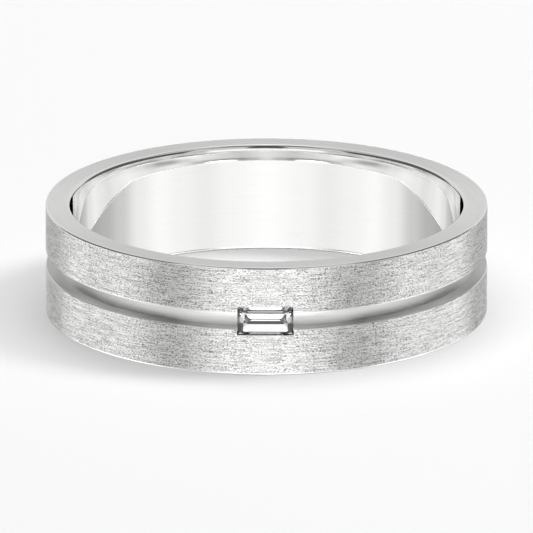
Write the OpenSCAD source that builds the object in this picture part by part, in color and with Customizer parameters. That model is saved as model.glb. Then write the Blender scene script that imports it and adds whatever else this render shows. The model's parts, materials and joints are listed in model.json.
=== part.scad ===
// A flat wedding-style band with a channel round its middle and one rectangular step-cut stone.
// The band lies on its side: Z runs along the finger hole, and the stone faces -Y.
// The origin is at the middle of the hole, on the plane that the band rests on.

/* [Band] */
// Outside diameter of the band
outer_d = 24.0; // [23.6:0.1:26]
// Width of the band, measured along the finger
band_w = 6.0; // [5:0.1:8]
// Diameter of the finger hole along its straight middle
bore_d = 21.2; // [19:0.1:21.6]
// Length of that straight middle, measured along the finger
straight_l = 3.7; // [2:0.1:5]
// How far each long comfort curve opens the hole, measured across the wall
comfort_open = 0.05; // [0.02:0.01:0.2]
// Radius of the rounded edges at the finger hole
hole_edge_r = 0.2; // [0.1:0.01:0.4]
// Radius of the rounded edges on the outside
outer_edge_r = 0.1; // [0.05:0.01:0.3]

/* [Channel] */
// Width of the channel that runs round the middle
channel_w = 0.92; // [0.5:0.01:1.2]
// Depth of the channel below the outer wall
channel_depth = 0.74; // [0.3:0.01:0.9]
// Radius of the channel's rounded lips
lip_r = 0.05; // [0.05:0.01:0.1]

/* [Stone] */
// Length of the stone round the band
stone_l = 3.0; // [2:0.1:3.5]
// Width of the stone along the finger
stone_w = 1.5; // [1.2:0.05:2]
// How far the table lies below the highest line of the outer wall
table_sink = 0.02; // [0.01:0.01:0.1]
// Height of the crown, from the girdle to the table
crown_h = 0.14; // [0.1:0.01:0.25]
// How far the crown leans in on each side
crown_in = 0.14; // [0.1:0.01:0.3]
// Height of the girdle
girdle_h = 0.04; // [0.02:0.01:0.1]
// Depth of the pavilion, from the girdle to the keel
pavilion_h = 0.8; // [0.5:0.01:0.85]

/* [Seat] */
// Gap between the stone and the metal
seat_gap = 0.03; // [0.02:0.01:0.05]

/* [Hidden] */
$fn = 180;

outer_r = outer_d / 2;
bore_r = bore_d / 2;
mid_z = band_w / 2;
cut_past = 1;

// Each comfort curve is a long arc that leaves the hole's straight wall smoothly and runs smoothly
// into the rounded edge. The edge's arc ends on the flat side, at the radius flat_r.
flat_r = bore_r + comfort_open + hole_edge_r;
comfort_z = (band_w - straight_l) / 2;
across = comfort_open + hole_edge_r;
along = comfort_z - hole_edge_r;
comfort_r = (across * across + along * along - hole_edge_r * hole_edge_r) / (2 * comfort_open);

// Height of the point where the long arc passes into the edge's arc.
join_z = hole_edge_r - hole_edge_r * along / (comfort_r - hole_edge_r);

// The pavilion has three steps. Each row: share of the pavilion's depth, share of the half width left.
PAVILION_STEPS = [[0.56, 0.57], [0.81, 0.32], [1, 0]];

table_y = outer_r - table_sink;
girdle_top = crown_h;
girdle_foot = crown_h + girdle_h;
keel_depth = girdle_foot + pavilion_h;

// The ledge in the seat carries the stone by its first pavilion step.
ledge_share = 0.5;
ledge_depth = girdle_foot + ledge_share * PAVILION_STEPS[0][0] * pavilion_h;
ledge_in = ledge_share * (1 - PAVILION_STEPS[0][1]) * stone_w / 2 - seat_gap;
pit_depth = keel_depth + 2 * seat_gap;

METAL = [0.86, 0.86, 0.85];
STONE = [0.93, 0.96, 0.98, 0.6];

// Section of the band's wall, drawn with the axis of the hole at x = 0.
module wall_section() {
    difference() {
        translate([bore_r, 0])
            square([outer_r - bore_r, band_w]);
        comfort_cut();
        translate([0, band_w])
            mirror([0, 1])
                comfort_cut();
        edge_cut();
        translate([0, band_w])
            mirror([0, 1])
                edge_cut();
        translate([outer_r - channel_depth, mid_z - channel_w / 2])
            square([channel_depth + cut_past, channel_w]);
        lip_cut();
        translate([0, band_w])
            mirror([0, 1])
                lip_cut();
    }
}

// What the comfort curve and the inner edge's rounding take off the section's lower inner corner.
module comfort_cut() {
    difference() {
        translate([bore_r - cut_past, join_z])
            square([cut_past + across, comfort_z - join_z]);
        translate([bore_r + comfort_r, comfort_z])
            circle(comfort_r);
    }
    difference() {
        translate([bore_r - cut_past, -cut_past])
            square([cut_past + across, cut_past + join_z]);
        translate([flat_r, hole_edge_r])
            circle(hole_edge_r);
    }
}

// What the rounding takes off the section's lower outer corner.
module edge_cut() {
    difference() {
        translate([outer_r - outer_edge_r, -cut_past])
            square([outer_edge_r + cut_past, outer_edge_r + cut_past]);
        translate([outer_r - outer_edge_r, outer_edge_r])
            circle(outer_edge_r);
    }
}

// What the rounding takes off the channel's lower lip.
module lip_cut() {
    lip_z = mid_z - channel_w / 2 - lip_r;
    difference() {
        translate([outer_r - lip_r, lip_z])
            square([lip_r + cut_past, lip_r + channel_w / 2]);
        translate([outer_r - lip_r, lip_z])
            circle(lip_r);
    }
}

// A block on the stone's axis, from beyond the outer wall down to a depth below the table.
module seat_well(length, width, depth) {
    bottom_y = table_y - depth;
    translate([-length / 2, -outer_r - cut_past, mid_z - width / 2])
        cube([length, outer_r + cut_past - bottom_y, width]);
}

module band() {
    color(METAL)
        difference() {
            rotate_extrude()
                wall_section();
            seat_well(stone_l + 2 * seat_gap, stone_w + 2 * seat_gap, ledge_depth);
            seat_well(stone_l - 2 * ledge_in, stone_w - 2 * ledge_in, pit_depth);
        }
}

// One rectangle of the stone: how far it leans in from the girdle on each side, and its depth.
function stone_ring(inset, depth) = [
    for (corner = [[-1, -1], [1, -1], [1, 1], [-1, 1]])
        [corner[0] * (stone_l / 2 - inset), -table_y + depth, mid_z + corner[1] * (stone_w / 2 - inset)]
];

module baguette_stone() {
    rings = concat(
        [stone_ring(crown_in, 0), stone_ring(0, girdle_top), stone_ring(0, girdle_foot)],
        [for (step = [0, 1])
            stone_ring((1 - PAVILION_STEPS[step][1]) * stone_w / 2,
                girdle_foot + PAVILION_STEPS[step][0] * pavilion_h)]
    );
    half_keel = (stone_l - stone_w) / 2;
    keel = [[-half_keel, -table_y + keel_depth, mid_z], [half_keel, -table_y + keel_depth, mid_z]];
    last = 4 * (len(rings) - 1);
    left = 4 * len(rings);
    right = left + 1;
    sides = [
        for (ring = [0 : len(rings) - 2])
            for (side = [0 : 3])
                let (next = (side + 1) % 4, low = 4 * ring)
                    [low + side, low + next, low + 4 + next, low + 4 + side]
    ];
    point_sides = [
        [last, last + 1, right, left],
        [last + 1, last + 2, right],
        [last + 2, last + 3, left, right],
        [last + 3, last, left]
    ];
    color(STONE)
        polyhedron(
            points = concat([for (ring = rings) for (point = ring) point], keel),
            faces = concat([[3, 2, 1, 0]], sides, point_sides)
        );
}

band();
baguette_stone();
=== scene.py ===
"""A flat satin band with a polished channel and one step-cut stone, lying on its side in a pale studio.

Everything is in metres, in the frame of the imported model: Z runs along the finger hole, the stone faces -Y,
and the band rests on the plane z = 0.
"""
import json
import logging
import math
from dataclasses import dataclass, field
from enum import Enum
from typing import Any

import bpy
import numpy as np
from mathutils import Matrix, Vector


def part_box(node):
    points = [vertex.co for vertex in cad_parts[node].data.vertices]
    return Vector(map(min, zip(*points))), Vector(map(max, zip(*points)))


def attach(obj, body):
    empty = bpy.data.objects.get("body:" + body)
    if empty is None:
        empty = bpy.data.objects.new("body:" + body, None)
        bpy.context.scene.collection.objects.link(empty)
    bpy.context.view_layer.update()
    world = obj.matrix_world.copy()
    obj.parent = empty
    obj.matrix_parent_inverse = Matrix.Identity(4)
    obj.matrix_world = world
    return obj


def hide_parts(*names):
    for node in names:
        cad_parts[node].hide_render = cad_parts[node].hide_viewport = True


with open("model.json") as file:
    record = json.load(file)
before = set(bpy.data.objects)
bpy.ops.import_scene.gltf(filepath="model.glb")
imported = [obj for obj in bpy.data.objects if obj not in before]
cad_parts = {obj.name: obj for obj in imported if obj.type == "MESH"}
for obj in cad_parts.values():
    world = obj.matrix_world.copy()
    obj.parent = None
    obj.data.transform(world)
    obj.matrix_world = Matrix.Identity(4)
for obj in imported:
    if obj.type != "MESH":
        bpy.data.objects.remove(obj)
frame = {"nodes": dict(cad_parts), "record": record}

LOG = logging.getLogger("band_scene")

# Two numbers: from and to, a length and a width, a radius and a height, or an angle and a level.
Pair = tuple[float, float]

MM = 0.001
FULL_TURN = 2 * math.pi
RIGHT_ANGLE = math.pi / 2
HALF_TURN_DEG = 180.0

# Points closer than this count as one.
WELD = 0.001 * MM
# Slack for a face's middle that is compared with the band's sizes.
NEAR = 0.01 * MM

# Heights of a face's unit normal: on an upright wall, and where the face leans down, looks up or lies flat.
UPRIGHT = 0.01
LEANS_DOWN = -0.05
LOOKS_UP = 0.9
LIES_FLAT = 0.999
# Least length of a unit normal in the plane through the hole's axis, on a face of the turned shape.
TRUE_TURN = 0.9999

# Share of the metal's grey that its blue has, for a hardly warm white.
WARM_BLUE = 0.99
# The share of a full turn that draws the gloss out across the marks instead of along them.
ACROSS_MARKS = 0.25
# Noise: its middle level, its finer layers where it has any, and how strong each is next to the one before.
NOISE_MIDDLE = 0.5
FINE_LAYERS = 2.0
ONE_LAYER = 0.0
LAYER_SHARE = 0.6


class Finish(Enum):
    """The finishes on the metal, in the order of the band's material slots.

    The last finish is painted shade: a darker grey on the edges that lean down, standing in for the table's
    contact shadow at the feet and the shade under the channel's upper lip, and on the channel's lower ledge,
    standing in for the shade in the channel.
    """

    BRUSHED = 0
    POLISHED = 1
    SIDE = 2
    CHANNEL = 3
    SHADED = 4


def deselect_all() -> None:
    """Leave object mode with nothing selected, because the loaded nodes come in selected."""
    if bpy.context.object is not None and bpy.context.object.mode != "OBJECT":
        bpy.ops.object.mode_set(mode="OBJECT")
    bpy.ops.object.select_all(action="DESELECT")


def read_vectors(items: Any, name: str) -> np.ndarray:
    """Read a vector of each item of a mesh.

    Args:
        items: The mesh's vertices, corners or faces.
        name: The vector's name.

    Returns:
        One row for each item.
    """
    values = np.empty(3 * len(items), dtype=np.float32)
    items.foreach_get(name, values)
    return values.reshape(-1, 3).astype(float)


def read_numbers(items: Any, name: str) -> np.ndarray:
    """Read a whole number of each item of a mesh.

    Args:
        items: The mesh's vertices, corners or faces.
        name: The number's name.

    Returns:
        One number for each item.
    """
    values = np.empty(len(items), dtype=np.int32)
    items.foreach_get(name, values)
    return values


def mount_dims(name: str) -> dict[str, float]:
    """Look up a mount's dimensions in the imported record.

    Args:
        name: The mount's name.

    Returns:
        Its dimensions, in millimetres.
    """
    mounts = {mount["name"]: mount for mount in frame["record"]["mounts"]}
    return mounts[name]["dims"]


class NodeGraph:
    """A short way to write down the nodes of a material or a world.

    Attributes:
        tree: The node tree that is filled.
    """

    def __init__(self, tree: bpy.types.NodeTree) -> None:
        """Start with an empty tree.

        Args:
            tree: The node tree that is cleared and filled.
        """
        self.tree = tree
        self.tree.nodes.clear()

    def add(self, kind: str, inputs: dict[Any, Any] | None = None, **settings: Any) -> bpy.types.Node:
        """Add one node.

        Args:
            kind: The node's type name without its ShaderNode start.
            inputs: A value, or another node's output socket, for each named or numbered input.
            settings: The node's own properties.

        Returns:
            The new node.
        """
        node = self.tree.nodes.new("ShaderNode" + kind)
        for name, value in settings.items():
            setattr(node, name, value)
        for name, value in (inputs or {}).items():
            if isinstance(value, bpy.types.NodeSocket):
                self.tree.links.new(value, node.inputs[name])
            else:
                node.inputs[name].default_value = value
        return node

    def math(self, operation: str, *values: Any) -> bpy.types.NodeSocket:
        """Add a Math node and return its result.

        Args:
            operation: The Math node's operation.
            values: Its inputs, as numbers or sockets.

        Returns:
            The result's socket.
        """
        return self.add("Math", dict(enumerate(values)), operation=operation).outputs[0]

    def smooth(self, value: bpy.types.NodeSocket, low: float, high: float) -> bpy.types.NodeSocket:
        """Rise smoothly from 0 at low to 1 at high.

        Args:
            value: The socket that is mapped.
            low: Where the rise begins.
            high: Where the rise ends.

        Returns:
            The result's socket.
        """
        inputs = {"Value": value, "From Min": low, "From Max": high}
        node = self.add("MapRange", inputs, interpolation_type="SMOOTHSTEP")
        return node.outputs["Result"]

    def steps(self, value: bpy.types.NodeSocket, low: float, high: float) -> bpy.types.NodeSocket:
        """Rise evenly from 0 at low to 1 at high.

        Args:
            value: The socket that is mapped.
            low: Where the rise begins.
            high: Where the rise ends.

        Returns:
            The result's socket.
        """
        return self.add("MapRange", {"Value": value, "From Min": low, "From Max": high}).outputs["Result"]

    def ramp(self, value: bpy.types.NodeSocket, stops: list[Pair]) -> bpy.types.NodeSocket:
        """Read a grey level off a colour ramp.

        Args:
            value: The socket that is looked up, from 0 to 1.
            stops: Pairs of a place on the ramp and the grey level there.

        Returns:
            The colour's socket.
        """
        node = self.add("ValToRGB", {"Fac": value})
        elements = node.color_ramp.elements
        while len(elements) < len(stops):
            elements.new(0.5)
        for element, (place, level) in zip(elements, stops):
            element.position = place
            element.color = (level, level, level, 1)
        node.color_ramp.interpolation = "EASE"
        return node.outputs["Color"]


@dataclass(frozen=True)
class MetalFinish:
    """A finish on white gold: its colour, its gloss and the fine marks that the tool left.

    Attributes:
        name: The material's name.
        light: Grey level of the metal where it is clean; the shaded finish's lower level is painted shade.
        streak: Length and width of the long brush marks.
        streak_dark: How much darker the marks are than the clean metal, as a share.
        roughness: Lowest and highest roughness.
        depth: How deep the marks are.
        streak_edge: Noise levels between which a mark begins and is full.
        speck: Length and width of the short dark pits.
        speck_dark: How much darker the pits are than the clean metal, as a share.
        speck_edge: Noise levels between which a pit begins and is full.
        row: Length and width of the rows that the pits gather in.
        row_pull: How strongly they gather.
        anisotropy: How far the gloss is drawn out across the marks.
    """

    name: str
    light: float
    streak: Pair
    streak_dark: float
    roughness: Pair
    depth: float
    streak_edge: Pair = (0.3, 0.7)
    speck: Pair = (0.05 * MM, 0.05 * MM)
    speck_dark: float = 0.1
    speck_edge: Pair = (0.65, 0.75)
    row: Pair = (2.0 * MM, 0.2 * MM)
    row_pull: float = 0.5
    anisotropy: float = 0.9

    def material(self) -> bpy.types.Material:
        """Build the material on Object coordinates.

        Returns:
            The finished material.
        """
        material = bpy.data.materials.new(self.name)
        material.use_nodes = True
        graph = NodeGraph(material.node_tree)
        place = self.along_band(graph)
        streaks = graph.steps(self.marks(graph, place, self.streak, FINE_LAYERS), *self.streak_edge)
        rows = graph.math("SUBTRACT", self.marks(graph, place, self.row, ONE_LAYER), NOISE_MIDDLE)
        dotted = graph.math("ADD", self.marks(graph, place, self.speck, ONE_LAYER),
                            graph.math("MULTIPLY", rows, self.row_pull))
        specks = graph.steps(dotted, *self.speck_edge)
        clean = graph.math("MULTIPLY",
                           graph.math("SUBTRACT", 1.0, graph.math("MULTIPLY", streaks, self.streak_dark)),
                           graph.math("SUBTRACT", 1.0, graph.math("MULTIPLY", specks, self.speck_dark)))
        level = graph.math("MULTIPLY", clean, self.light)
        blue = graph.math("MULTIPLY", level, WARM_BLUE)
        colour = graph.add("CombineColor", {"Red": level, "Green": level, "Blue": blue})
        rough = graph.add("MapRange", {"Value": clean,
                                       "To Min": self.roughness[1], "To Max": self.roughness[0]})
        bump = graph.add("Bump", {"Height": clean, "Strength": 1.0, "Distance": self.depth})
        metal = graph.add("BsdfPrincipled", {
            "Base Color": colour.outputs[0],
            "Metallic": 1.0,
            "Roughness": rough.outputs["Result"],
            "Normal": bump.outputs["Normal"],
            "Anisotropic": self.anisotropy,
        })
        if self.anisotropy > 0:
            metal.inputs["Anisotropic Rotation"].default_value = ACROSS_MARKS
            tangent = graph.add("Tangent", direction_type="RADIAL", axis="Z")
            graph.tree.links.new(tangent.outputs[0], metal.inputs["Tangent"])
        graph.add("OutputMaterial", {"Surface": metal.outputs[0]})
        return material

    def along_band(self, graph: NodeGraph) -> bpy.types.NodeSocket:
        """Give coordinates whose third one runs across the marks, on the walls and on the flat sides alike.

        Args:
            graph: The material's nodes.

        Returns:
            The Object coordinates, with the distance from the hole's axis added to the height.
        """
        place = graph.add("SeparateXYZ", {"Vector": graph.add("TexCoord").outputs["Object"]})
        x, y, z = place.outputs
        squares = graph.math("ADD", graph.math("MULTIPLY", x, x), graph.math("MULTIPLY", y, y))
        radius = graph.math("SQRT", squares)
        return graph.add("CombineXYZ", {"X": x, "Y": y, "Z": graph.math("ADD", z, radius)}).outputs[0]

    def marks(self, graph: NodeGraph, place: bpy.types.NodeSocket, size: Pair,
              layers: float) -> bpy.types.NodeSocket:
        """Draw noise that is stretched along the band.

        Args:
            graph: The material's nodes.
            place: The Object coordinates.
            size: Length and width of the noise's cells.
            layers: How many finer layers the noise has.

        Returns:
            The noise level's socket.
        """
        scale = (1 / size[0], 1 / size[0], 1 / size[1])
        stretched = graph.add("Mapping", {"Vector": place, "Scale": scale}).outputs[0]
        noise = graph.add("TexNoise", {"Vector": stretched, "Scale": 1.0, "Detail": layers,
                                       "Roughness": LAYER_SHARE})
        return noise.outputs["Fac"]


BRUSHED_WALL = MetalFinish("brushed_wall", light=1.0,
                           streak=(1.6 * MM, 0.026 * MM), streak_dark=0.34, streak_edge=(0.52, 0.64),
                           speck=(0.08 * MM, 0.023 * MM), speck_dark=0.85, speck_edge=(0.54, 0.67),
                           row=(0.8 * MM, 0.03 * MM), row_pull=0.45,
                           roughness=(0.48, 0.52), depth=0.001 * MM, anisotropy=0.95)
POLISHED_METAL = MetalFinish("polished_metal", light=0.9,
                             streak=(3.0 * MM, 0.03 * MM), streak_dark=0.02,
                             speck_dark=0.05, speck_edge=(0.7, 0.8),
                             roughness=(0.02, 0.04), depth=0.000002 * MM, anisotropy=0.0)
SIDE_METAL = MetalFinish("side_metal", light=0.86,
                         streak=(2.0 * MM, 0.05 * MM), streak_dark=0.08,
                         roughness=(0.3, 0.36), depth=0.00005 * MM)
CHANNEL_METAL = MetalFinish("channel_metal", light=1.0,
                            streak=(1.5 * MM, 0.06 * MM), streak_dark=0.06,
                            roughness=(0.3, 0.34), depth=0.0001 * MM)
# Painted shade: the metal at a lower grey, standing in for the contact shadow under the edges that lean down
# and the shade on the channel's lower ledge.
PAINTED_SHADE_METAL = MetalFinish("painted_shade_metal", light=0.55,
                           streak=(2.0 * MM, 0.03 * MM), streak_dark=0.1,
                           roughness=(0.3, 0.34), depth=0.0)
METALS = {Finish.BRUSHED: BRUSHED_WALL, Finish.POLISHED: POLISHED_METAL, Finish.SIDE: SIDE_METAL,
          Finish.CHANNEL: CHANNEL_METAL, Finish.SHADED: PAINTED_SHADE_METAL}


@dataclass(frozen=True)
class StoneFinish:
    """Clear moissanite, with a faint grey body and the finest polishing marks.

    Attributes:
        name: The material's name.
        tint: Colour of the light that passes through.
        ior: Index of refraction.
        gloss: Share of the surface's own gloss that is kept.
        cloud_size: Size of the faint unevenness in the polish.
        roughness: Lowest and highest roughness.
    """

    name: str = "moissanite_stone"
    tint: tuple[float, float, float] = (0.97, 0.975, 0.985)
    ior: float = 2.65
    gloss: float = 0.5
    cloud_size: float = 0.4 * MM
    roughness: Pair = (0.0, 0.01)

    def material(self) -> bpy.types.Material:
        """Build the material on Object coordinates.

        Returns:
            The finished material.
        """
        material = bpy.data.materials.new(self.name)
        material.use_nodes = True
        graph = NodeGraph(material.node_tree)
        place = graph.add("TexCoord").outputs["Object"]
        cloud = graph.add("TexNoise", {"Vector": place, "Scale": 1 / self.cloud_size, "Detail": FINE_LAYERS})
        rough = graph.add("MapRange", {"Value": cloud.outputs["Fac"],
                                       "To Min": self.roughness[0], "To Max": self.roughness[1]})
        stone = graph.add("BsdfPrincipled", {
            "Base Color": (*self.tint, 1),
            "Metallic": 0.0,
            "Roughness": rough.outputs["Result"],
            "IOR": self.ior,
            "Specular Tint": (self.gloss, self.gloss, self.gloss, 1),
            "Transmission Weight": 1.0,
        })
        graph.add("OutputMaterial", {"Surface": stone.outputs[0]})
        return material


class SectionPen:
    """Draws the outline of the band's wall in edit mode, in the plane y = 0, with x as the radius.

    Attributes:
        piece: The object that the outline is drawn in.
        radius: Where the pen stands, from the axis of the hole.
        height: Where the pen stands, above the rest plane.
    """

    def __init__(self, name: str, radius: float, height: float) -> None:
        """Put the pen down: a small plane, merged to one point.

        Args:
            name: Name of the new object.
            radius: Where the outline starts, from the axis of the hole.
            height: Where the outline starts, above the rest plane.
        """
        deselect_all()
        bpy.ops.mesh.primitive_plane_add(size=MM, location=(radius, 0, height))
        self.piece = bpy.context.object
        self.piece.name = name
        bpy.ops.object.transform_apply(location=True, rotation=True, scale=True)
        bpy.ops.object.mode_set(mode="EDIT")
        bpy.ops.mesh.select_mode(type="VERT")
        bpy.ops.mesh.select_all(action="SELECT")
        bpy.ops.mesh.merge(type="CENTER")
        self.radius = radius
        self.height = height

    def line_to(self, radius: float, height: float) -> None:
        """Extrude the pen's point along a straight line.

        Args:
            radius: Where the line ends, from the axis of the hole.
            height: Where the line ends, above the rest plane.
        """
        move = (radius - self.radius, 0, height - self.height)
        bpy.ops.mesh.extrude_region_move(TRANSFORM_OT_translate={"value": move})
        self.radius = radius
        self.height = height

    def arc(self, centre: Pair, turn: float, steps: int) -> None:
        """Spin the pen's point about a centre in the section's plane.

        Args:
            centre: The centre's radius and height.
            turn: The angle, positive from the direction of +x towards +z.
            steps: How many straight steps the arc has.
        """
        across = self.radius - centre[0]
        up = self.height - centre[1]
        bpy.ops.mesh.spin(steps=steps, angle=turn, center=(centre[0], 0, centre[1]), axis=(0, 1, 0))
        self.radius = centre[0] + across * math.cos(turn) - up * math.sin(turn)
        self.height = centre[1] + across * math.sin(turn) + up * math.cos(turn)

    def close(self) -> None:
        """Weld the outline's two ends together and leave edit mode."""
        bpy.ops.mesh.select_all(action="SELECT")
        bpy.ops.mesh.remove_doubles(threshold=WELD)
        bpy.ops.object.mode_set(mode="OBJECT")


@dataclass(frozen=True)
class SectionArc:
    """One arc of the section, in radius and in distance from the band's middle.

    Attributes:
        radius: From and to, as distances from the hole's axis.
        side: From and to, as distances from the band's middle.
        centre: The arc's centre.
    """

    radius: Pair
    side: Pair
    centre: Pair

    def holds(self, radius: np.ndarray, side: np.ndarray) -> np.ndarray:
        """Say which points lie on the arc.

        Args:
            radius: The points' distances from the hole's axis.
            side: Their distances from the band's middle.

        Returns:
            True for each point on the arc.
        """
        inside = (radius > self.radius[0] - WELD) & (radius < self.radius[1] + WELD)
        return inside & (side > self.side[0] - WELD) & (side < self.side[1] + WELD)


@dataclass
class Band:
    """The metal band: its wall's section, turned round the hole, with the stone's seat cut in.

    Attributes:
        outer_r: Radius of the outer wall.
        width: Width along the finger.
        bore_r: Radius of the finger hole's straight middle.
        straight_l: Length of that straight middle.
        stone_low: Lowest corner of the stone's box.
        stone_high: Highest corner of the stone's box.
        hole_edge_r: Radius of the rounded edges at the finger hole.
        outer_edge_r: Radius of the rounded edges on the outside.
        comfort_open: How far each comfort curve opens the hole.
        channel_w: Width of the channel.
        channel_depth: Depth of the channel.
        lip_r: Radius of the channel's lips.
        seat_gap: Gap between the stone and its seat.
        ledge_depth: How deep the seat's ledge lies below the table, half way down the stone's first step.
        ledge_in: How far the ledge stands in from the stone's outline.
        cut_past: How far the boxes that cut the seat reach beyond the outer wall.
        turn_steps: Steps round the whole band.
        arc_steps: Steps along each arc of the section.
        lip_steps: Steps along each of the channel's lips.
        flat_r: Radius at which the flat side begins.
        comfort_z: Length of each comfort curve with its rounded edge, along the finger.
        comfort_r: Radius of the comfort curve's long arc.
        comfort_turn: The angle that this arc turns through.
    """

    outer_r: float
    width: float
    bore_r: float
    straight_l: float
    stone_low: Vector
    stone_high: Vector
    hole_edge_r: float = 0.2 * MM
    outer_edge_r: float = 0.1 * MM
    comfort_open: float = 0.05 * MM
    channel_w: float = 0.92 * MM
    channel_depth: float = 0.74 * MM
    lip_r: float = 0.05 * MM
    seat_gap: float = 0.03 * MM
    ledge_depth: float = 0.404 * MM
    ledge_in: float = 0.13125 * MM
    cut_past: float = 1.0 * MM
    turn_steps: int = 720
    arc_steps: int = 12
    lip_steps: int = 4
    flat_r: float = field(init=False)
    comfort_z: float = field(init=False)
    comfort_r: float = field(init=False)
    comfort_turn: float = field(init=False)

    def __post_init__(self) -> None:
        """Work out the arc that leads from the hole's straight wall into the rounded edge."""
        self.flat_r = self.bore_r + self.comfort_open + self.hole_edge_r
        self.comfort_z = (self.width - self.straight_l) / 2
        across = self.comfort_open + self.hole_edge_r
        along = self.comfort_z - self.hole_edge_r
        self.comfort_r = (across**2 + along**2 - self.hole_edge_r**2) / (2 * self.comfort_open)
        self.comfort_turn = math.asin(along / (self.comfort_r - self.hole_edge_r))

    def build(self) -> bpy.types.Object:
        """Make the whole piece.

        Returns:
            The band's object, with its finishes and its normals set.
        """
        piece = self.turned_section()
        self.cut_seat(piece)
        self.dress(piece)
        self.set_normals(piece)
        return piece

    def turned_section(self) -> bpy.types.Object:
        """Draw the section and spin it round the hole's axis.

        Returns:
            The closed ring, without its seat.
        """
        middle = self.width / 2
        hole_edge_z = self.width - self.hole_edge_r
        outer_edge_z = self.width - self.outer_edge_r
        round_r = self.outer_r - self.outer_edge_r
        floor_r = self.outer_r - self.channel_depth
        lip = self.channel_w / 2 + self.lip_r
        lip_centre_r = self.outer_r - self.lip_r
        edge_turn = RIGHT_ANGLE - self.comfort_turn
        comfort_centre_r = self.bore_r + self.comfort_r
        pen = SectionPen("satin_band", self.bore_r, self.comfort_z)
        pen.line_to(self.bore_r, self.width - self.comfort_z)
        pen.arc((comfort_centre_r, self.width - self.comfort_z), -self.comfort_turn, self.arc_steps)
        pen.arc((self.flat_r, hole_edge_z), -edge_turn, self.arc_steps)
        pen.line_to(round_r, self.width)
        pen.arc((round_r, outer_edge_z), -RIGHT_ANGLE, self.arc_steps)
        pen.line_to(self.outer_r, middle + lip)
        pen.arc((lip_centre_r, middle + lip), -RIGHT_ANGLE, self.lip_steps)
        pen.line_to(floor_r, middle + self.channel_w / 2)
        pen.line_to(floor_r, middle - self.channel_w / 2)
        pen.line_to(lip_centre_r, middle - self.channel_w / 2)
        pen.arc((lip_centre_r, middle - lip), -RIGHT_ANGLE, self.lip_steps)
        pen.line_to(self.outer_r, self.outer_edge_r)
        pen.arc((round_r, self.outer_edge_r), -RIGHT_ANGLE, self.arc_steps)
        pen.line_to(self.flat_r, 0)
        pen.arc((self.flat_r, self.hole_edge_r), -edge_turn, self.arc_steps)
        pen.arc((comfort_centre_r, self.comfort_z), -self.comfort_turn, self.arc_steps)
        pen.close()
        bpy.ops.object.mode_set(mode="EDIT")
        bpy.ops.mesh.select_all(action="SELECT")
        bpy.ops.mesh.spin(steps=self.turn_steps, angle=FULL_TURN, center=(0, 0, 0), axis=(0, 0, 1))
        bpy.ops.mesh.select_all(action="SELECT")
        bpy.ops.mesh.remove_doubles(threshold=WELD)
        bpy.ops.mesh.normals_make_consistent(inside=False)
        bpy.ops.object.mode_set(mode="OBJECT")
        return pen.piece

    def cut_seat(self, piece: bpy.types.Object) -> None:
        """Cut the stepped seat with two boxes.

        Args:
            piece: The closed ring.
        """
        table_y = self.stone_low.y
        self.cut_box(piece, -self.seat_gap, table_y + self.ledge_depth)
        self.cut_box(piece, self.ledge_in, self.stone_high.y + 2 * self.seat_gap)

    def cut_box(self, piece: bpy.types.Object, inset: float, bottom_y: float) -> None:
        """Cut one box out of the ring, from beyond the outer wall to a depth.

        Args:
            piece: The ring that is cut.
            inset: How far the box's sides stand in from the stone's outline.
            bottom_y: Where the box ends, inside the wall.
        """
        start_y = -self.outer_r - self.cut_past
        length = self.stone_high.x - self.stone_low.x - 2 * inset
        width = self.stone_high.z - self.stone_low.z - 2 * inset
        deselect_all()
        bpy.ops.mesh.primitive_cube_add(size=1, location=(0, (start_y + bottom_y) / 2, self.width / 2),
                                        scale=(length, bottom_y - start_y, width))
        box = bpy.context.object
        bpy.ops.object.transform_apply(location=True, rotation=True, scale=True)
        deselect_all()
        bpy.context.view_layer.objects.active = piece
        piece.select_set(True)
        cut = piece.modifiers.new("seat", "BOOLEAN")
        cut.operation = "DIFFERENCE"
        cut.solver = "EXACT"
        cut.object = box
        bpy.ops.object.modifier_apply(modifier=cut.name)
        bpy.data.objects.remove(box)

    def dress(self, piece: bpy.types.Object) -> None:
        """Give each face its finish by its place.

        Args:
            piece: The finished shape.
        """
        piece.data.materials.clear()
        for finish in Finish:
            piece.data.materials.append(METALS[finish].material())
        for face in piece.data.polygons:
            face.material_index = self.finish_at(face.center, face.normal).value

    def finish_at(self, place: Vector, normal: Vector) -> Finish:
        """Name the finish of a face.

        Args:
            place: The face's middle.
            normal: The face's normal.

        Returns:
            The finish that the face has.
        """
        middle = self.width / 2
        radius = math.hypot(place.x, place.y)
        side = abs(place.z - middle)
        lip = self.channel_w / 2 + self.lip_r
        on_wall = (radius > self.outer_r - NEAR and abs(normal.z) < UPRIGHT
                   and lip < side < middle - self.outer_edge_r)
        on_side = place.z < NEAR or place.z > self.width - NEAR
        in_channel = radius > self.outer_r - self.channel_depth - NEAR and side < self.channel_w / 2 + NEAR
        leans_down = normal.z < LEANS_DOWN
        on_outer_edge = radius > self.outer_r - self.outer_edge_r
        on_foot = on_outer_edge and leans_down and NEAR < place.z < self.outer_edge_r
        on_hole_foot = radius < self.flat_r and leans_down and place.z < self.hole_edge_r - NEAR
        on_lip = on_outer_edge and leans_down and middle + self.channel_w / 2 - NEAR < place.z < middle + lip
        if on_wall:
            return Finish.BRUSHED
        # The feet, the hole's foot and the channel's upper lip get painted shade, for the table's contact
        # shadow and the shade under the lip.
        if on_foot or on_hole_foot or on_lip:
            return Finish.SHADED
        if in_channel:
            # The channel's lower ledge, which looks up, gets painted shade; the rest of the channel keeps its
            # own metal.
            return Finish.SHADED if normal.z > LOOKS_UP else Finish.CHANNEL
        if on_side and abs(normal.z) > LIES_FLAT:
            return Finish.SIDE
        return Finish.POLISHED

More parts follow.
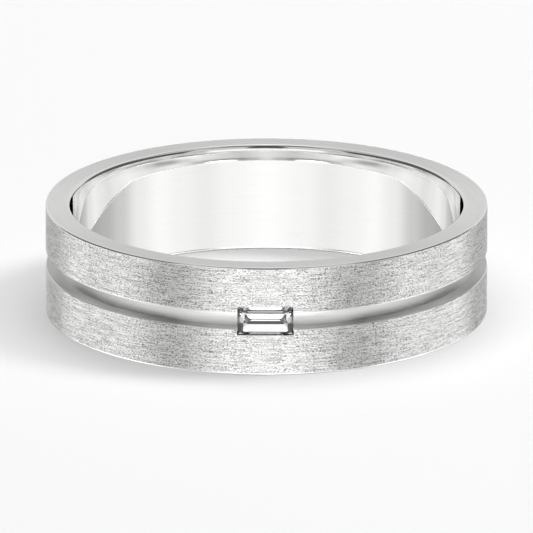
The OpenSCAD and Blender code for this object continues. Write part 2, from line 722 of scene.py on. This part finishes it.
    def arcs(self) -> list[SectionArc]:
        """List the section's arcs, as seen from the band's middle.

        Returns:
            The arcs, where a point lies on at most one of them.
        """
        half = self.width / 2
        straight = self.straight_l / 2
        lip = self.channel_w / 2
        hole_edge = half - self.hole_edge_r
        outer_edge = half - self.outer_edge_r
        join = hole_edge + self.hole_edge_r * math.sin(self.comfort_turn)
        round_r = self.outer_r - self.outer_edge_r
        lip_centre_r = self.outer_r - self.lip_r
        comfort_centre_r = self.bore_r + self.comfort_r
        return [
            SectionArc((round_r, self.outer_r), (outer_edge, half), (round_r, outer_edge)),
            SectionArc((self.bore_r, self.flat_r), (join, half), (self.flat_r, hole_edge)),
            SectionArc((self.bore_r, self.flat_r), (straight, join), (comfort_centre_r, straight)),
            SectionArc((lip_centre_r, self.outer_r), (lip, lip + self.lip_r),
                       (lip_centre_r, lip + self.lip_r)),
        ]

    def set_normals(self, piece: bpy.types.Object) -> None:
        """Set the true normal of the turned shape at each corner, so that polished faces mirror cleanly.

        Args:
            piece: The finished shape.
        """
        mesh = piece.data
        mesh.polygons.foreach_set("use_smooth", [True] * len(mesh.polygons))
        place = read_vectors(mesh.vertices, "co")[read_numbers(mesh.loops, "vertex_index")]
        corners = read_numbers(mesh.polygons, "loop_total")
        flat = np.repeat(read_vectors(mesh.polygons, "normal"), corners, axis=0)
        radius = np.hypot(place[:, 0], place[:, 1])
        outward = place[:, :2] / radius[:, None]
        side = place[:, 2] - self.width / 2
        across = (flat[:, :2] * outward).sum(axis=1)
        turned = (np.hypot(across, flat[:, 2]) > TRUE_TURN) & (np.abs(flat[:, 2]) < TRUE_TURN)
        normal = flat.copy()
        normal[turned, :2] = outward[turned] * np.sign(across[turned])[:, None]
        normal[turned, 2] = 0
        for arc in self.arcs():
            on = turned & arc.holds(radius, np.abs(side))
            normal[on, :2] = outward[on] * (radius[on] - arc.centre[0])[:, None]
            normal[on, 2] = np.sign(side[on]) * (np.abs(side[on]) - arc.centre[1])
        normal /= np.linalg.norm(normal, axis=1)[:, None]
        mesh.normals_split_custom_set(normal)


@dataclass(frozen=True)
class Softbox:
    """A lit or dark panel of the studio, given by the directions in which it is seen.

    Attributes:
        azimuth: From and to, in degrees from the camera's side, the same to the left and to the right.
        elevation: From and to, in degrees above the horizon.
        soft: Width of its soft border, in degrees, in azimuth and in elevation.
        level: How bright it is.
    """

    azimuth: Pair
    elevation: Pair
    soft: Pair
    level: float


@dataclass(frozen=True)
class Lamp:
    """A large soft lamp that lights the floor and that the metal doesn't mirror.

    Attributes:
        name: The lamp's name.
        place: Where it hangs; it points at the origin.
        size: Its diameter.
        watts: Its power.
        shadow: Whether the band blocks its light.
    """

    name: str
    place: tuple[float, float, float]
    size: float
    watts: float
    shadow: bool

    def hang(self) -> None:
        """Add the lamp to the scene."""
        light = bpy.data.lights.new(self.name, "AREA")
        light.shape = "DISK"
        light.size = self.size
        light.energy = self.watts
        light.use_shadow = self.shadow
        lamp = bpy.data.objects.new(self.name, light)
        lamp.location = self.place
        lamp.rotation_euler = Vector(self.place).to_track_quat("Z", "Y").to_euler()
        lamp.visible_glossy = False
        lamp.visible_transmission = False
        bpy.context.scene.collection.objects.link(lamp)


@dataclass
class Studio:
    """The pale floor, the soft light and the camera.

    The metal and the stone mirror a room that is drawn by direction. Its levels below the horizon follow the
    azimuth, in degrees from the camera's side, the same to the left and to the right.

    Attributes:
        ceiling: How bright the room is above the horizon, where no softbox hangs.
        near: Azimuths and levels just below the horizon.
        below: Azimuths and levels further down.
        deep: Azimuths and levels furthest down.
        horizon: Elevations between which the near levels pass into the ceiling's.
        near_edge: Elevations between which the levels further down pass into the near ones.
        deep_edge: Elevations between which the deepest levels pass into those above them.
        softboxes: The lit and dark panels, where a later one covers an earlier one.
        lamps: The lamps that light the floor.
        camera_distance: From the camera to the band's middle.
        camera_azimuth: The angle at which the camera stands to the right of the stone.
        camera_elevation: The angle at which it stands above the band's middle.
        camera_pitch: The angle at which it looks down.
        camera_lens: Its focal length, in millimetres.
        camera_clip: The nearest distance that it sees.
        floor_half: Half the floor's width.
        floor_grey: How light the floor is.
    """

    ceiling: float = 0.22
    near: list[Pair] = field(default_factory=lambda: [
        (0, 1.0), (22, 0.9), (35, 0.7), (49, 0.4), (63, 0.4), (83, 0.8), (100, 1.0), (115, 0.95), (130, 0.85),
        (150, 0.75), (180, 0.95)])
    below: list[Pair] = field(default_factory=lambda: [
        (0, 1.12), (22, 1.04), (37, 0.95), (52, 1.01), (67, 1.08), (82, 0.95), (97, 0.67), (112, 0.52),
        (128, 0.45), (150, 0.42), (164, 0.6), (180, 0.9)])
    deep: list[Pair] = field(default_factory=lambda: [
        (0, 4.4), (11, 4.2), (24, 3.9), (36, 3.2), (46, 0.4), (60, 0.2), (73, 1.5), (86, 3.4), (97, 4.9),
        (110, 6.0), (122, 5.0), (136, 2.0), (148, 0.0), (180, 0.0)])
    horizon: Pair = (-4.0, 1.0)
    near_edge: Pair = (-14.0, -10.0)
    deep_edge: Pair = (-34.0, -30.0)
    softboxes: list[Softbox] = field(default_factory=lambda: [
        Softbox((50, 130), (48, 78), (12, 8), 0.55),
        Softbox((12, 48), (-4, 45), (6, 20), 0.68),
        Softbox((50, 128), (-4, 42), (8, 10), 0.1),
        Softbox((133, 190), (-4, 58), (10, 10), 0.76),
        Softbox((-10, 10), (3, 68), (6, 6), 0.085),
        Softbox((-10, 100), (-9, -2), (20, 4), 1.4),
        Softbox((112, 140), (-34, -20.5), (20, 3), 4.6),
        Softbox((150, 190), (58, 100), (10, 8), 1.3),
    ])
    lamps: list[Lamp] = field(default_factory=lambda: [
        Lamp("key_light", (0.62, 0.1, 0.75), size=0.35, watts=3.9, shadow=True),
        Lamp("top_light", (0.0, -0.1, 1.2), size=1.6, watts=13.2, shadow=True),
        Lamp("fill_light", (0.0, 0.5, 1.2), size=0.8, watts=6.5, shadow=False),
    ])
    camera_distance: float = 675.9 * MM
    camera_azimuth: float = math.radians(0.29)
    camera_elevation: float = math.radians(17.3797)
    camera_pitch: float = math.radians(17.4342)
    camera_lens: float = 839.57
    camera_clip: float = 0.01
    floor_half: float = 2.0
    floor_grey: float = 0.75

    def build(self, aim_z: float) -> None:
        """Set up everything that isn't part of the object.

        Args:
            aim_z: Height of the band's middle.
        """
        bpy.context.scene.view_settings.view_transform = "Standard"
        self.floor()
        self.world()
        for lamp in self.lamps:
            lamp.hang()
        self.camera(aim_z)

    def floor(self) -> None:
        """Lay the plain pale floor, which the metal doesn't mirror."""
        deselect_all()
        bpy.ops.mesh.primitive_plane_add(size=2 * self.floor_half, location=(0, 0, 0))
        floor = bpy.context.object
        floor.name = "floor"
        material = bpy.data.materials.new("pale_floor")
        material.use_nodes = True
        graph = NodeGraph(material.node_tree)
        matt = graph.add("BsdfDiffuse", {"Color": (self.floor_grey, self.floor_grey, self.floor_grey, 1)})
        graph.add("OutputMaterial", {"Surface": matt.outputs[0]})
        floor.data.materials.append(material)
        floor.visible_glossy = False
        floor.visible_transmission = False

    def world(self) -> None:
        """Light the studio with soft panels, drawn by direction."""
        world = bpy.data.worlds.new("studio")
        bpy.context.scene.world = world
        world.cycles_visibility.diffuse = False
        world.use_nodes = True
        graph = NodeGraph(world.node_tree)
        direction = graph.add("SeparateXYZ", {"Vector": graph.add("TexCoord").outputs["Generated"]})
        side = graph.math("ABSOLUTE", direction.outputs["X"])
        front = graph.math("MULTIPLY", direction.outputs["Y"], -1.0)
        azimuth = graph.math("DEGREES", graph.math("ARCTAN2", side, front))
        elevation = graph.math("DEGREES", graph.math("ARCSINE", direction.outputs["Z"]))
        level = self.mixed(graph, graph.smooth(elevation, *self.deep_edge),
                           self.round_ramp(graph, azimuth, self.deep),
                           self.round_ramp(graph, azimuth, self.below))
        level = self.mixed(graph, graph.smooth(elevation, *self.near_edge),
                           level, self.round_ramp(graph, azimuth, self.near))
        level = self.mixed(graph, graph.smooth(elevation, *self.horizon), level, self.ceiling)
        for box in self.softboxes:
            inside = graph.math("MULTIPLY", self.between(graph, azimuth, box.azimuth, box.soft[0]),
                                self.between(graph, elevation, box.elevation, box.soft[1]))
            level = self.mixed(graph, inside, level, box.level)
        background = graph.add("Background", {"Color": level, "Strength": 1.0})
        graph.add("OutputWorld", {"Surface": background.outputs[0]})

    def round_ramp(self, graph: NodeGraph, azimuth: bpy.types.NodeSocket,
                   stops: list[Pair]) -> bpy.types.NodeSocket:
        """Look up a level by azimuth.

        Args:
            graph: The world's nodes.
            azimuth: The azimuth's socket, in degrees.
            stops: Pairs of an azimuth and the level there.

        Returns:
            The level's socket.
        """
        top = max(level for place, level in stops)
        shares = [(place / HALF_TURN_DEG, level / top) for place, level in stops]
        return graph.math("MULTIPLY", graph.ramp(graph.math("DIVIDE", azimuth, HALF_TURN_DEG), shares), top)

    def between(self, graph: NodeGraph, value: bpy.types.NodeSocket, ends: Pair,
                soft: float) -> bpy.types.NodeSocket:
        """Be 1 between two ends and 0 outside them, with soft borders.

        Args:
            graph: The world's nodes.
            value: The angle that is tested.
            ends: The two ends.
            soft: Width of the borders.

        Returns:
            The result's socket.
        """
        rise = graph.smooth(value, ends[0] - soft / 2, ends[0] + soft / 2)
        fall = graph.smooth(value, ends[1] - soft / 2, ends[1] + soft / 2)
        return graph.math("MULTIPLY", rise, graph.math("SUBTRACT", 1.0, fall))

    def mixed(self, graph: NodeGraph, factor: bpy.types.NodeSocket, first: Any,
              second: Any) -> bpy.types.NodeSocket:
        """Mix two levels.

        Args:
            graph: The world's nodes.
            factor: How much of the second level shows.
            first: The level at factor 0.
            second: The level at factor 1.

        Returns:
            The result's socket.
        """
        # The inputs go by number, because the node has one of the same name for each kind of value.
        mix = graph.add("Mix", {0: factor, 2: first, 3: second}, data_type="FLOAT")
        return mix.outputs[0]

    def camera(self, aim_z: float) -> None:
        """Place the camera at the photograph's angle.

        Args:
            aim_z: Height of the band's middle.
        """
        data = bpy.data.cameras.new("camera")
        data.lens = self.camera_lens
        data.clip_start = self.camera_clip
        camera = bpy.data.objects.new("camera", data)
        out = self.camera_distance * math.cos(self.camera_elevation)
        up = aim_z + self.camera_distance * math.sin(self.camera_elevation)
        camera.location = (out * math.sin(self.camera_azimuth), -out * math.cos(self.camera_azimuth), up)
        camera.rotation_euler = (RIGHT_ANGLE - self.camera_pitch, 0, self.camera_azimuth)
        bpy.context.scene.collection.objects.link(camera)
        bpy.context.scene.camera = camera


def corners(box: tuple[Vector, Vector]) -> list[list[float]]:
    """Write a box's two corners as plain lists."""
    return [list(corner) for corner in box]


def main() -> None:
    """Build the band, dress the stone and set up the studio."""
    logging.basicConfig(level=logging.INFO, format="%(name)s: %(message)s")
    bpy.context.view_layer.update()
    band_low, band_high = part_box("band")
    stone_low, stone_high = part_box("baguette_stone")
    hole = mount_dims("finger_hole")
    band = Band(outer_r=band_high.x, width=band_high.z - band_low.z, bore_r=hole["r_mm"] * MM,
                straight_l=hole["length_mm"] * MM, stone_low=stone_low, stone_high=stone_high)
    piece = band.build()
    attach(piece, "root")
    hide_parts("band")
    LOG.info("%s: %d faces", piece.name, len(piece.data.polygons))
    stone = frame["nodes"]["baguette_stone"]
    stone.material_slots[0].material = StoneFinish().material()
    LOG.info("%s: %d faces", stone.name, len(stone.data.polygons))
    Studio().build(aim_z=band.width / 2)


if __name__ == "__main__":
    main()
